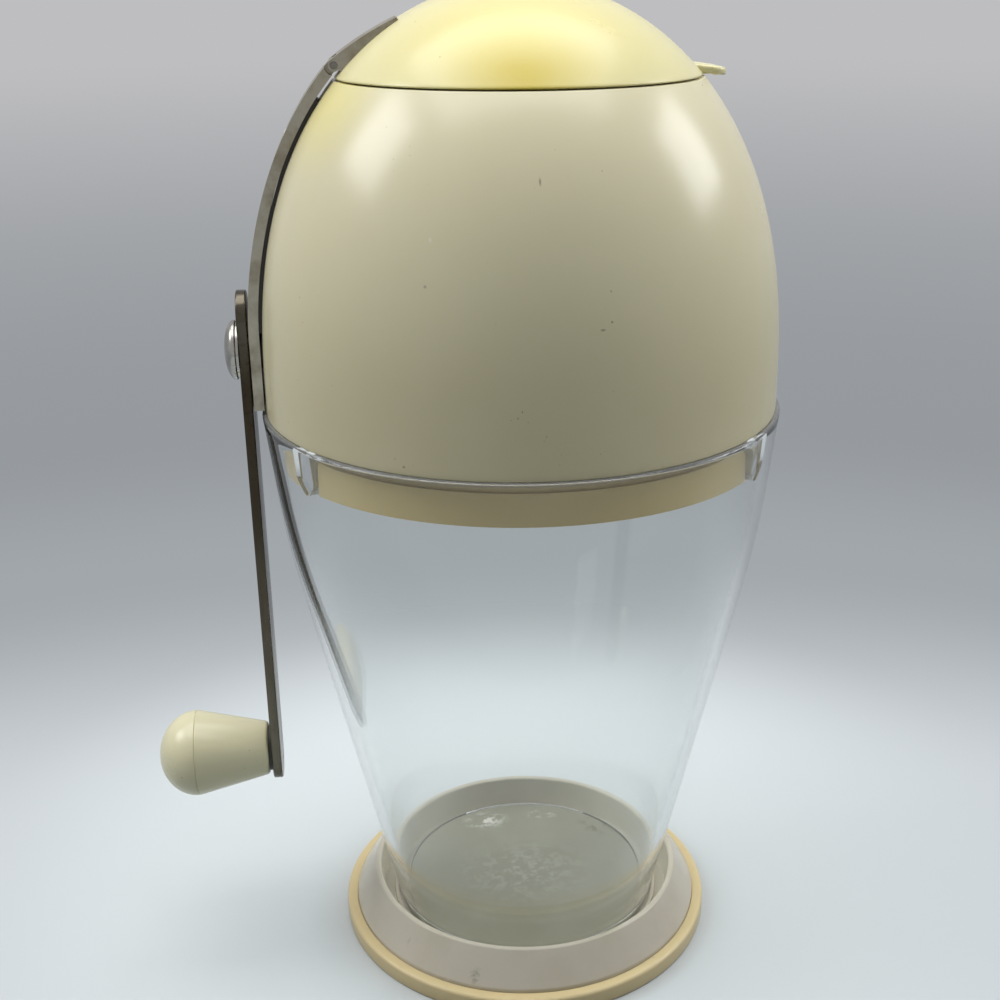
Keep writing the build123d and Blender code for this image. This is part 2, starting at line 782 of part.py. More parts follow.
with BuildPart() as lid:
    with BuildSketch(Plane.XZ):
        with BuildLine():
            outer = crown(lid_bottom, 0)
            inner = crown(lid_bottom, -lid_wall)
            Line(outer @ 1, inner @ 1)
            Line(outer @ 0, inner @ 0)
        make_face()
        with BuildLine():
            Polyline(
                (lip_radius - lip_wall, lip_bottom),
                (lip_radius, lip_bottom),
                (lip_radius, egg_height(lip_radius, -lid_wall / 2)),
                (lip_radius - lip_wall, egg_height(lip_radius - lip_wall, -lid_wall / 2)),
                close=True,
            )
        make_face()
    revolve(axis=Axis.Z)
    with BuildSketch(Plane.XZ.offset(-tab_width / 2)):
        with BuildLine():
            Polyline(
                (egg_level(lid_bottom, -lid_wall / 2), lid_bottom),
                (egg_radius(lid_seam) + loose_gap, lid_bottom),
                (tab_tip, lid_bottom - tab_droop),
                (tab_tip, lid_bottom - tab_droop + 0.8 * tab_thickness),
                (egg_radius(lid_bottom), lid_bottom + tab_thickness),
                tab_root,
                close=True,
            )
        make_face()
    extrude(amount=tab_width)
    tip_edges = lid.edges().filter_by(Axis.Z).group_by(Axis.X)[-1]
    fillet(tip_edges, tab_reach - tab_flat)
    for plane in lid_screw_planes:
        with BuildSketch(plane.offset(1)):
            Circle(small_screw_radius + fit_gap)
        extrude(amount=-lid_wall - 3, mode=Mode.SUBTRACT)
finish(lid, "lid")

leaf_heights = [hinge_height + leaf_rise * i / 4 for i in range(5)]
leaf_fall = (strap_top_out - leaf_tip_thickness) / (leaf_tip_height - hinge_height)
with BuildPart() as hinge_leaf:
    with BuildSketch(hinge_plane):
        with BuildLine():
            run = []
            for z in leaf_heights:
                radius, height = egg_point(z, strap_top_out - leaf_fall * (z - hinge_height))
                run.append((-radius, height))
            top = Spline(*run)
            low_tip = egg_point(leaf_tip_height, -lid_wall / 2)
            low_root = egg_point(hinge_height, -lid_wall / 2)
            Polyline(top @ 1, (-low_tip[0], low_tip[1]), (-low_root[0], low_root[1]), top @ 0)
        make_face()
    extrude(amount=strap_width)
    hinge_round(relief_radius, knuckle_width + 2 * seat_gap, mode=Mode.SUBTRACT)
    for offset in (-leaf_offset, leaf_offset):
        hinge_round(knuckle_radius, leaf_knuckle, offset)
    hinge_round(hinge_pin_radius + running_gap, strap_width, mode=Mode.SUBTRACT)
    with BuildSketch(Plane.XZ):
        with BuildLine():
            cap = crown(lid_bottom, 0)
            Polyline(cap @ 1, (0, lid_bottom), cap @ 0)
        make_face()
    revolve(axis=Axis.Z, mode=Mode.SUBTRACT)
    for plane in lid_screw_planes:
        with BuildSketch(plane.offset(-1)):
            Circle(small_screw_radius + fit_gap)
        extrude(amount=1 + 1.5, mode=Mode.SUBTRACT)
finish(hinge_leaf, "hinge_leaf")

with BuildPart() as leaf_screws:
    for plane in lid_screw_planes:
        inside = plane.offset(-lid_wall - running_gap)
        with BuildSketch(inside):
            Circle(small_screw_head_radius)
        extrude(amount=-small_screw_head_thickness)
        with BuildSketch(inside):
            Circle(small_screw_radius)
        extrude(amount=lid_wall + 1.3)
finish(leaf_screws, "leaf_screws")

# ---------------------------------------------------------------- crank
arm_length = arm_tail + crank_throw + arm_toe
with BuildPart() as crank_arm:
    with BuildSketch(side_plane(-arm_inside, shaft_height)):
        with Locations((0, arm_tail - arm_length / 2)):
            SlotOverall(arm_length, arm_width, rotation=90)
        Rectangle(square_flats + 2 * fit_gap, square_flats + 2 * fit_gap, mode=Mode.SUBTRACT)
        with Locations((0, -crank_throw)):
            Circle(spindle_radius + fit_gap, mode=Mode.SUBTRACT)
    extrude(amount=arm_thickness)
    outline = crank_arm.edges().group_by(SortBy.LENGTH)[-1]
    fillet(outline, arm_edge)
finish(crank_arm, "crank_arm")

with BuildPart() as crank_washer:
    with BuildSketch(side_plane(-arm_outside, shaft_height)):
        Circle(washer_radius)
        Circle(stud_radius + fit_gap, mode=Mode.SUBTRACT)
    extrude(amount=washer_thickness)
finish(crank_washer, "crank_washer")


def dome_curve(x, z, length, radius, fullness=0.5523):
    """Quarter of an oval from the edge at (x, z + radius) to the axis at (x - length, z)."""
    Bezier(
        (x, z + radius),
        (x - fullness * length, z + radius),
        (x - length, z + fullness * radius),
        (x - length, z),
    )


nut_start = arm_outside + washer_thickness
crank_axis = Axis((0, 0, shaft_height), (1, 0, 0))
with BuildPart() as dome_nut:
    with BuildSketch(Plane.XZ):
        with BuildLine():
            Polyline(
                (-nut_start - nut_rise, shaft_height),
                (-nut_start, shaft_height),
                (-nut_start, shaft_height + nut_radius),
                (-nut_start - nut_brim, shaft_height + nut_radius),
            )
            dome_curve(-nut_start - nut_brim, shaft_height, nut_rise - nut_brim, nut_radius)
        make_face()
    revolve(axis=crank_axis)
    with BuildSketch(side_plane(-nut_start, shaft_height)):
        Circle(stud_radius + fit_gap)
    extrude(amount=stud_length - washer_thickness + seat_gap, mode=Mode.SUBTRACT)
finish(dome_nut, "dome_nut")

# ---------------------------------------------------------------- knob
knob_start = arm_outside + knob_washer_thickness + seat_gap / 2
knob_seam = knob_start + knob_grip_length
knob_end = knob_start + knob_length
pocket_floor = knob_seam - knob_pocket_depth
knob_axis = Axis((0, 0, knob_height), (1, 0, 0))
with BuildPart() as handle_spindle:
    with BuildSketch(side_plane(-arm_inside, knob_height)):
        Circle(spindle_radius)
    extrude(amount=pocket_floor + seat_gap - arm_inside)
    with BuildSketch(side_plane(-pocket_floor - seat_gap, knob_height)):
        Circle(spindle_head_radius)
    extrude(amount=spindle_head_thickness)
finish(handle_spindle, "handle_spindle")

with BuildPart() as knob_washer:
    with BuildSketch(side_plane(-arm_outside, knob_height)):
        Circle(knob_washer_radius)
        Circle(spindle_radius + fit_gap, mode=Mode.SUBTRACT)
    extrude(amount=knob_washer_thickness)
finish(knob_washer, "knob_washer")

with BuildPart() as knob_grip:
    with BuildSketch(Plane.XZ):
        with BuildLine():
            Polyline(
                (-knob_start, knob_height),
                (-knob_start, knob_height + knob_small_radius),
                (-knob_seam, knob_height + knob_big_radius),
                (-knob_seam, knob_height),
                close=True,
            )
        make_face()
    revolve(axis=knob_axis)
    fillet(knob_grip.edges().group_by(Axis.X)[-1], knob_edge)
    chamfer(knob_grip.edges().group_by(Axis.X)[0], knob_edge / 4)
    with BuildSketch(side_plane(-knob_start, knob_height)):
        Circle(spindle_radius + running_gap)
    extrude(amount=knob_grip_length, mode=Mode.SUBTRACT)
    with BuildSketch(side_plane(-pocket_floor, knob_height)):
        Circle(cap_spigot_radius + fit_gap)
    extrude(amount=knob_pocket_depth, mode=Mode.SUBTRACT)
finish(knob_grip, "knob_grip")

with BuildPart() as knob_cap:
    with BuildSketch(Plane.XZ):
        with BuildLine():
            Polyline(
                (-knob_end, knob_height),
                (-knob_seam + cap_spigot_length, knob_height),
                (-knob_seam + cap_spigot_length, knob_height + cap_spigot_radius),
                (-knob_seam, knob_height + cap_spigot_radius),
                (-knob_seam, knob_height + knob_big_radius),
            )
            dome_curve(-knob_seam, knob_height, knob_length - knob_grip_length, knob_big_radius)
        make_face()
    revolve(axis=knob_axis)
finish(knob_cap, "knob_cap")
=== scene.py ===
from math import atan2, cos, hypot, log10, pi, radians, sin, sqrt

import bmesh
import bpy
from mathutils import Matrix, Vector


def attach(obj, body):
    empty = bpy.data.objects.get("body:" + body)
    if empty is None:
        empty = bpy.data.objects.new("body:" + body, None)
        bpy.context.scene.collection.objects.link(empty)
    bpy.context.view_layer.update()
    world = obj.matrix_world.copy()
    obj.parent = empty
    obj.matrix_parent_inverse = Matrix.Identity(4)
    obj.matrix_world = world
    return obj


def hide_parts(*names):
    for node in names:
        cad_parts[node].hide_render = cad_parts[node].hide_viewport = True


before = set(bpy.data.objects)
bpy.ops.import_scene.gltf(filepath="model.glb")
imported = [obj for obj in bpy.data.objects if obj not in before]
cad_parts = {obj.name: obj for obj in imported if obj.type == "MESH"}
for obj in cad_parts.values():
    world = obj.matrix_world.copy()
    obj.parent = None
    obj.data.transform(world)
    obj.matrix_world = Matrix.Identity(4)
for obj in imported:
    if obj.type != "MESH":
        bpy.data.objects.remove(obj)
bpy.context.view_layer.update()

# ---------------------------------------------------------------- sizes (mm)
MM = 0.001
SHARP_ANGLE = 38.0

RIM_RADIUS = 65.8
RIM_HEIGHT = 153.5
NECK_DROP = 18.5
NECK_TAPER = 0.107
SHOULDER_LENGTH = 30.0
CONE_TAPER = 0.226
TUMBLER_WALL = 2.8
TUMBLER_BOTTOM = 5.0
TUMBLER_STEPS = 60
# Heights where the rim's frosted edge, whitened as a painted highlight, starts and is full.
FROSTED_HIGHLIGHT_START = RIM_HEIGHT - 0.9
FROSTED_HIGHLIGHT_FULL = RIM_HEIGHT - 0.3
DISC_TOP = 9.0
DISC_EDGE_INSET = 1.7
DISC_GAP = 0.05
LUG_HALF_WIDTH = 3.6
LUG_TOP = RIM_HEIGHT - 0.4
LUG_SHOULDER = LUG_TOP - 8.4
LUG_TIP = LUG_SHOULDER - 4.3
LUG_REACH = (59.3, 63.6)
LUG_AZIMUTHS = (-149.5, -35.5, 87.5)

RING_RADIUS = 52.0
RING_BORE = 46.05
RING_STEP_RADIUS = 49.05
RING_HEIGHT = 4.9
PAD_HEIGHT = 2.5
SKIRT_RADIUS = 49.0
SKIRT_WALL = 2.0
SKIRT_TOP = 5.8
HOLLOW_LOW = 4.8
HOLLOW_RUN = 3.1
CREST_RADIUS = 43.4
WELL_RADIUS = 41.9
WELL_FOOT_RADIUS = 41.0
CUP_PLUG_RADIUS = 43.0
CUP_FLOOR = 5.0
CUP_HEIGHT = 14.3
RIB_RADII = (37.0, 38.2)
RIB_TOP = 6.2

LID_TOP = 254.0
HOOD_RADIUS = 64.6
EGG_LOW = 160.0
EGG_RISE = LID_TOP - EGG_LOW
EGG_POWER = 2.4
HOOD_WALL = 2.6
HOOD_TOP = 232.5
LID_BOTTOM = HOOD_TOP + 0.4
LID_WALL = 2.4
CROWN_CAP = 0.5
LIP_RADII = (38.3, 39.8)
LIP_BOTTOM = 229.6
LIP_TOPS = (236.3, 235.2)

TAB_ROOT = 40.5
TAB_TIP = 49.2
TAB_HALF_WIDTH = 8.5
TAB_CORNER = 5.0
TAB_UNDERSIDE = LID_BOTTOM + 0.05
TAB_DROOP = 0.6
TAB_DROOP_START = 45.4
TAB_DROOP_RUN = TAB_TIP - TAB_DROOP_START
TAB_TOP = 235.3
TAB_FALL = 0.14
TAB_FALL_START = 41.0
TAB_EDGE = 0.6

# Strip in the gap between strap and hood: painted shade, a dark sheet where there is only shadow.
GAP_SHADE_LOW = 174.0
GAP_SHADE_HIGH = 228.0
GAP_SHADE_STEPS = 30
GAP_SHADE_HALF_WIDTH = 5.7
GAP_SHADE_INNER = 0.05
GAP_SHADE_OUTER = 0.62

SHAFT_HEIGHT = 168.7
KNOB_HEIGHT = 55.5
KNOB_START = 70.95
KNOB_SEAM = 90.15
KNOB_RADIUS = 11.6
KNOB_NECK_RADIUS = 7.2
KNOB_BORE = 3.1
KNOB_POCKET_RADIUS = 7.05
KNOB_POCKET_DEPTH = 6.0
CAP_PLUG_RADIUS = 7.0
CAP_PLUG_LENGTH = 3.0
CAP_CHAMFER = 0.2
CAP_RISE = 10.2
NUT_START = 70.65
NUT_RADIUS = 7.4
NUT_FOOT_RADIUS = 6.9
NUT_BORE = 2.05
NUT_EDGE = 0.3
NUT_RIM = 0.6
NUT_RISE = 2.6
NUT_SOCKET = 2.5


# ---------------------------------------------------------------- outlines
def egg_radius(z):
    """Outside radius of hood and lid at a height."""
    rise = max(z - EGG_LOW, 0.0) / EGG_RISE
    return HOOD_RADIUS * sqrt(max(1.0 - rise**EGG_POWER, 0.0))


def egg_point(z, out=0.0):
    """Point of the egg's outline, moved off it along its normal."""
    slope = (egg_radius(z + 0.01) - egg_radius(z - 0.01)) / 0.02
    size = hypot(1.0, slope)
    return egg_radius(z) + out / size, z - out * slope / size


def egg_level(z, out):
    """Radius of the moved outline at a height."""
    low, high = 150.0, LID_TOP - 0.1
    for _ in range(48):
        middle = (low + high) / 2.0
        if egg_point(middle, out)[1] < z:
            low = middle
        else:
            high = middle
    return egg_point(low, out)[0]


def egg_run(low, high, out, count):
    """Points up the outline, closer together near the top."""
    steps = [1.0 - (1.0 - i / (count - 1)) ** 1.6 for i in range(count)]
    return [(egg_level(low + (high - low) * s, out), low + (high - low) * s) for s in steps]


def crown(out, count):
    """Outline of the lid's dome up to the axis."""
    top = LID_TOP + out
    run = egg_run(LID_BOTTOM, top - CROWN_CAP, out, count)
    last = run[-1][0]
    return run + [(last * sin(a), top - CROWN_CAP * (1 - cos(a))) for a in (1.2, 0.8, 0.4)] + [(0.0, top)]


def dome(radius, start, rise, steps):
    """Quarter of an ellipse that ends on the axis."""
    turns = [pi / 2.0 * i / steps for i in range(1, steps)]
    return [(radius * cos(a), start + rise * sin(a)) for a in turns] + [(0.0, start + rise)]


def tumbler_radius(z):
    """Outside radius of the tumbler: straight neck, curved shoulder, straight cone."""
    neck_bottom = RIM_HEIGHT - NECK_DROP
    if z >= neck_bottom:
        return RIM_RADIUS - NECK_TAPER * (RIM_HEIGHT - z)
    shoulder = min(neck_bottom - z, SHOULDER_LENGTH)
    bend = (CONE_TAPER - NECK_TAPER) / (2.0 * SHOULDER_LENGTH)
    cone = max(neck_bottom - SHOULDER_LENGTH - z, 0.0)
    return RIM_RADIUS - NECK_TAPER * (NECK_DROP + shoulder) - bend * shoulder**2 - CONE_TAPER * cone


def rounded(points, radii, steps=5):
    """Outline with its corners rounded: one radius for each point, 0 for a sharp one."""
    out = []
    count = len(points)
    for i, (x, y) in enumerate(points):
        r = radii[i]
        if r <= 0:
            out.append((x, y))
            continue
        ax, ay = points[i - 1][0] - x, points[i - 1][1] - y
        bx, by = points[(i + 1) % count][0] - x, points[(i + 1) % count][1] - y
        la, lb = hypot(ax, ay), hypot(bx, by)
        ax, ay, bx, by = ax / la, ay / la, bx / lb, by / lb
        half = atan2(abs(ax * by - ay * bx), ax * bx + ay * by) / 2.0
        reach = min(r * cos(half) / sin(half), la * 0.49, lb * 0.49)
        r = reach * sin(half) / cos(half)
        mx, my = ax + bx, ay + by
        ml = hypot(mx, my)
        cx, cy = x + mx / ml * r / sin(half), y + my / ml * r / sin(half)
        sx, sy = x + ax * reach - cx, y + ay * reach - cy
        ex, ey = x + bx * reach - cx, y + by * reach - cy
        turn = atan2(sx * ey - sy * ex, sx * ex + sy * ey)
        for k in range(steps + 1):
            a = turn * k / steps
            out.append((cx + sx * cos(a) - sy * sin(a), cy + sx * sin(a) + sy * cos(a)))
    return out


# ---------------------------------------------------------------- meshes
def mesh_object(name, verts, faces, sharp=SHARP_ANGLE):
    mesh = bpy.data.meshes.new(name)
    mesh.from_pydata([Vector(v) * MM for v in verts], [], faces)
    bm = bmesh.new()
    bm.from_mesh(mesh)
    bmesh.ops.remove_doubles(bm, verts=bm.verts, dist=1e-7)
    bmesh.ops.recalc_face_normals(bm, faces=bm.faces)
    bm.to_mesh(mesh)
    bm.free()
    mesh.shade_smooth()
    mesh.set_sharp_from_angle(angle=radians(sharp))
    obj = bpy.data.objects.new(name, mesh)
    bpy.context.scene.collection.objects.link(obj)
    return obj


def along_z(x, y, z):
    return x, y, z


def along_crank(height):
    """Placing for pieces turned round a line along -X at a height."""
    return lambda x, y, z: (-z, x, height + y)


def lathe(name, outline, segments=192, place=along_z):
    """Closed outline of (radius, height) turned round a line."""
    verts, faces = [], []
    count = len(outline)
    for s in range(segments):
        a = 2.0 * pi * s / segments
        for r, h in outline:
            verts.append(place(r * cos(a), r * sin(a), h))
    for s in range(segments):
        t = (s + 1) % segments
        for i in range(count):
            j = (i + 1) % count
            if outline[i][0] < 1e-6 and outline[j][0] < 1e-6:
                continue
            faces.append((s * count + i, t * count + i, t * count + j, s * count + j))
    return mesh_object(name, verts, faces)


def prism_faces(count):
    """Faces of a prism whose two ends have count points each."""
    faces = [tuple(range(count))[::-1], tuple(range(count, 2 * count))]
    return faces + [(i, (i + 1) % count, count + (i + 1) % count, count + i) for i in range(count)]


def work_in_modifiers(obj):
    graph = bpy.context.evaluated_depsgraph_get()
    mesh = bpy.data.meshes.new_from_object(obj.evaluated_get(graph))
    obj.modifiers.clear()
    obj.data = mesh


# ---------------------------------------------------------------- node helpers
def colour(r, g, b):
    """Linear colour from 0-255 screen values."""
    shades = [v / 255.0 for v in (r, g, b)]
    return tuple(((s + 0.055) / 1.055) ** 2.4 if s > 0.04 else s / 12.92 for s in shades) + (1.0,)


class Nodes:
    """Short calls that build one node tree."""

    def __init__(self, tree):
        self.tree = tree

    def new(self, kind, **settings):
        node = self.tree.nodes.new(kind)
        for name, setting in settings.items():
            setattr(node, name, setting)
        return node

    def join(self, source, socket):
        self.tree.links.new(source, socket)

    def feed(self, socket, item):
        """Sets a socket's value, or links it."""
        if isinstance(item, (int, float, tuple)):
            socket.default_value = item
        else:
            self.join(item, socket)

    def math(self, operation, *items, clamp=False):
        node = self.new("ShaderNodeMath", operation=operation, use_clamp=clamp)
        for socket, item in zip(node.inputs, items):
            self.feed(socket, item)
        return node.outputs[0]

    def halved(self, source):
        """A value of -1 to 1 brought to 0 to 1."""
        return self.math("MULTIPLY_ADD", source, 0.5, 0.5)

    def length(self, vector):
        node = self.new("ShaderNodeVectorMath", operation="LENGTH")
        self.join(vector, node.inputs[0])
        return node.outputs["Value"]

    def part(self, vector, index):
        node = self.new("ShaderNodeSeparateXYZ")
        self.join(vector, node.inputs[0])
        return node.outputs[index]

    def mix(self, factor, a, b, blend="MIX"):
        node = self.new("ShaderNodeMix", data_type="RGBA", blend_type=blend)
        for socket, item in ((node.inputs[0], factor), (node.inputs[6], a), (node.inputs[7], b)):
            self.feed(socket, item)
        return node.outputs[2]

    def mix_shader(self, factor, first, second):
        node = self.new("ShaderNodeMixShader")
        for socket, source in zip(node.inputs, (factor, first, second)):
            self.join(source, socket)
        return node.outputs[0]

    def colour_ramp(self, source, stops, smooth=True):
        """Ramp of (position, colour) stops."""
        node = self.new("ShaderNodeValToRGB")
        node.color_ramp.interpolation = "EASE" if smooth else "LINEAR"
        first, last = node.color_ramp.elements
        first.position, last.position = stops[0][0], stops[-1][0]
        first.color, last.color = stops[0][1], stops[-1][1]
        for position, tone in stops[1:-1]:
            node.color_ramp.elements.new(position).color = tone
        self.join(source, node.inputs[0])
        return node.outputs[0]

    def seen_rays(self):
        """1 for rays that show the backdrop: camera, glossy and transmission rays."""
        rays = self.new("ShaderNodeLightPath").outputs
        seen = self.math("ADD", rays["Is Camera Ray"], rays["Is Glossy Ray"])
        return self.math("ADD", seen, rays["Is Transmission Ray"], clamp=True)


class Look(Nodes):
    """One node material with a Principled shader."""

    def __init__(self, name):
        self.mat = bpy.data.materials.new(name)
        self.mat.use_nodes = True
        super().__init__(self.mat.node_tree)
        self.tree.nodes.clear()
        self.out = self.new("ShaderNodeOutputMaterial")
        self.shader = self.new("ShaderNodeBsdfPrincipled")
        self.show(self.shader.outputs[0])
        self.coords = self.new("ShaderNodeTexCoord").outputs["Object"]

    def show(self, source):
        self.join(source, self.out.inputs[0])

    def put(self, **items):
        """Values or links for the shader's sockets, with _ for the spaces in their names."""
        for name, item in items.items():
            self.feed(self.shader.inputs[name.replace("_", " ")], item)

    def mapped(self, kind, location, scale=(1.0, 1.0, 1.0)):
        node = self.new("ShaderNodeMapping", vector_type=kind)
        node.inputs["Location"].default_value = location
        node.inputs["Scale"].default_value = scale
        self.join(self.coords, node.inputs[0])
        return node.outputs[0]

    def noise(self, scale, detail=3.0, rough=0.55, stretch=(1.0, 1.0, 1.0), seed=0.0):
        node = self.new("ShaderNodeTexNoise")
        node.inputs["Scale"].default_value = scale
        node.inputs["Detail"].default_value = detail
        node.inputs["Roughness"].default_value = rough
        self.join(self.mapped("POINT", (seed, seed * 0.7, -seed), stretch), node.inputs["Vector"])
        return node.outputs["Fac"]

    def ramp(self, source, stops, smooth=True):
        """Grey ramp of (position, value) stops."""
        return self.colour_ramp(source, [(place, (v, v, v, 1.0)) for place, v in stops], smooth)

    def spot(self, centre, spread):
        """1 in the middle of a soft oval at a place (mm), 0 outside it."""
        place = self.mapped("TEXTURE", tuple(c * MM for c in centre), tuple(s * MM for s in spread))
        return self.ramp(self.length(place), ((0.0, 1.0), (1.0, 0.0)))

    def axis(self, index):
        return self.part(self.coords, index)

    def stained(self, tone, stains, patches):
        """Tone with soft coloured spots, broken up by a patch mask made anew for each."""
        for centre, spread, shade, amount in stains:
            mask = self.math("MULTIPLY", self.spot(centre, spread), amount)
            tone = self.mix(self.math("MULTIPLY", mask, patches()), tone, shade)
        return tone

    def bump(self, source, strength, distance):
        node = self.new("ShaderNodeBump")
        node.inputs["Strength"].default_value = strength
        node.inputs["Distance"].default_value = distance
        self.join(source, node.inputs["Height"])
        self.put(Normal=node.outputs[0])


# ---------------------------------------------------------------- materials
def cream(name, base, stains=(), rough=0.2):
    """Old glossy plastic: uneven yellowing, stains (on the hood also a painted shade among them), dark specks
    and scuffs.
    """
    look = Look(name)
    tone = look.mix(look.ramp(look.noise(14.0, 4.0), ((0.35, 0.0), (0.7, 0.22))), base, AGED)
    tone = look.stained(
        tone, stains, lambda: look.ramp(look.noise(30.0, 3.0, seed=2.0), ((0.2, 0.8), (0.75, 1.0))))
    specks = look.ramp(look.noise(900.0, 2.0, seed=5.0), ((0.735, 0.0), (0.76, 0.75)), False)
    where = look.ramp(look.noise(40.0, seed=9.0), ((0.5, 0.0), (0.62, 1.0)))
    tone = look.mix(look.math("MULTIPLY", specks, where), tone, SPECK)
    scuffs = look.ramp(look.noise(38.0, 5.0, seed=3.0), ((0.0, rough - 0.04), (1.0, rough + 0.12)), False)
    look.put(Base_Color=tone, Roughness=scuffs, IOR=1.5, Subsurface_Weight=0.08,
             Subsurface_Radius=(0.003, 0.0025, 0.0015))
    look.bump(look.noise(25.0, 1.0, seed=7.0), 0.05, 0.0006)
    return look.mat


def metal(name, tone, dark, rough, stretch=(1.0, 1.0, 1.0), pits=None, grime_and_shade_band=None):
    """Worn metal: streaks, a pitted place and, where given, a darker band of heights that is partly grime,
    partly painted shade.
    """
    look = Look(name)
    streak = look.noise(160.0, 5.0, 0.6, stretch=stretch)
    base = look.mix(look.ramp(streak, ((0.3, 0.0), (0.75, 0.6))), tone, dark)
    if pits:
        spots = look.ramp(look.noise(620.0, 4.0, 0.7, seed=4.0), ((0.5, 0.0), (0.62, 1.0)))
        base = look.mix(look.math("MULTIPLY", spots, look.spot(*pits)), base, PIT)
    # Darker band of heights: partly grime, partly painted shade.
    if grime_and_shade_band:
        base = look.mix(look.ramp(look.axis(2), grime_and_shade_band), base, GRIME_AND_SHADE)
    look.put(Metallic=1.0, Base_Color=base,
             Roughness=look.ramp(streak, ((0.25, rough * 0.8), (0.8, rough * 1.5))))
    look.bump(streak, 0.08, 0.0001)
    return look.mat


def plain(name, tone, worn, rough):
    """Plain moulded plastic inside the head."""
    look = Look(name)
    grain = look.noise(70.0, 4.0)
    look.put(Base_Color=look.mix(look.ramp(grain, ((0.4, 0.0), (0.8, 0.5))), tone, worn),
             Roughness=look.ramp(grain, ((0.3, rough * 0.85), (0.8, min(rough * 1.3, 1.0)))))
    return look.mat


def clear_look(name):
    """Clear plastic with hazy wear, a frosted rim edge whitened as a painted highlight, and a light shadow.
    """
    look = Look(name)
    haze = look.ramp(look.noise(45.0, 5.0, 0.6, stretch=(1.0, 1.0, 0.35)), ((0.45, 0.012), (0.8, 0.07)))
    # Rim edge: rougher frosting and less transmission, so the white base shows as a painted highlight along
    # the rim.
    edge = look.ramp(look.axis(2), ((FROSTED_HIGHLIGHT_START * MM, 0.0), (FROSTED_HIGHLIGHT_FULL * MM, 0.28)), False)
    look.put(IOR=1.46, Base_Color=(0.945, 0.96, 0.955, 1.0),
             Roughness=look.math("ADD", haze, edge, clamp=True),
             Transmission_Weight=look.math("SUBTRACT", 1.0, look.math("MULTIPLY", edge, 2.5)))
    look.bump(look.noise(9.0, 1.0, seed=1.0), 0.05, 0.0005)
    through = look.new("ShaderNodeBsdfTransparent")
    through.inputs[0].default_value = (0.93, 0.95, 0.94, 1.0)
    shadow = look.new("ShaderNodeLightPath").outputs["Is Shadow Ray"]
    look.show(look.mix_shader(shadow, look.shader.outputs[0], through.outputs[0]))
    return look.mat


def smoky_look(name, tone, worn, through, rough, stains=()):
    """Milky plastic that lets a little light through."""
    look = Look(name)
    grain = look.noise(50.0, 4.0)
    tone = look.mix(look.ramp(grain, ((0.4, 0.0), (0.75, 0.5))), tone, worn)
    tone = look.stained(
        tone, stains, lambda: look.ramp(look.noise(380.0, 4.0, 0.7, seed=6.0), ((0.47, 0.0), (0.6, 1.0))))
    look.put(Base_Color=tone, Transmission_Weight=through, IOR=1.45, Subsurface_Weight=0.15,
             Subsurface_Radius=(0.004, 0.0035, 0.003),
             Roughness=look.ramp(grain, ((0.3, rough), (0.8, rough * 1.35))))
    return look.mat


AGED = colour(214, 203, 160)
SPECK = colour(96, 84, 60)
PIT = colour(52, 42, 30)
# Dark brown for the arm's darker band: grime and painted shade.
GRIME_AND_SHADE = colour(50, 41, 28)
YELLOW = colour(206, 184, 28)
PALE_YELLOW = colour(232, 220, 132)
# Darker beige painted on the hood's lower front as shade.
LOWER_FRONT_SHADE = colour(204, 190, 146)
MARK = colour(104, 98, 76)
SCRATCH = colour(248, 246, 232)
DIRT = colour(92, 82, 62)
LIMESCALE = colour(236, 234, 224)

hood_look = cream("hood_cream", colour(228, 221, 187), [
    ((-44, -14, 228), (20, 26, 22), PALE_YELLOW, 0.75),
    # Darker beige over the hood's lower front: painted shade, not a stain.
    ((0, -30, 158), (110, 100, 48), LOWER_FRONT_SHADE, 0.62),
    ((-2.4, -54.6, 215.5), (0.35, 1.2, 1.3), MARK, 0.85),
    ((9.7, -62.2, 185.9), (0.9, 1.2, 0.4), MARK, 0.7),
    ((11.7, -61.8, 187.4), (0.4, 1.2, 0.4), MARK, 0.8),
    ((-26.7, -55.4, 194.8), (0.5, 1.2, 0.5), MARK, 0.6),
    ((-32.6, -55.7, 155.5), (0.4, 1.2, 0.4), MARK, 0.9),
    ((-25.2, -53.4, 204.1), (0.35, 1.2, 0.8), SCRATCH, 0.8)])
lid_look = cream("lid_cream", colour(230, 223, 172), [
    ((-4, -34, 244), (46, 34, 22), PALE_YELLOW, 0.8),
    ((-3, -42, 236), (25, 20, 12), YELLOW, 1.0)])
knob_look = cream("knob_cream", colour(224, 219, 184))
ring_look = cream("ring_tan", colour(222, 202, 154), rough=0.3)
chassis_look = cream("chassis_tan", colour(184, 162, 100), rough=0.3)
strap_look = metal("strap_steel", colour(180, 174, 158), colour(112, 102, 82), 0.34, (1.0, 0.3, 1.0))
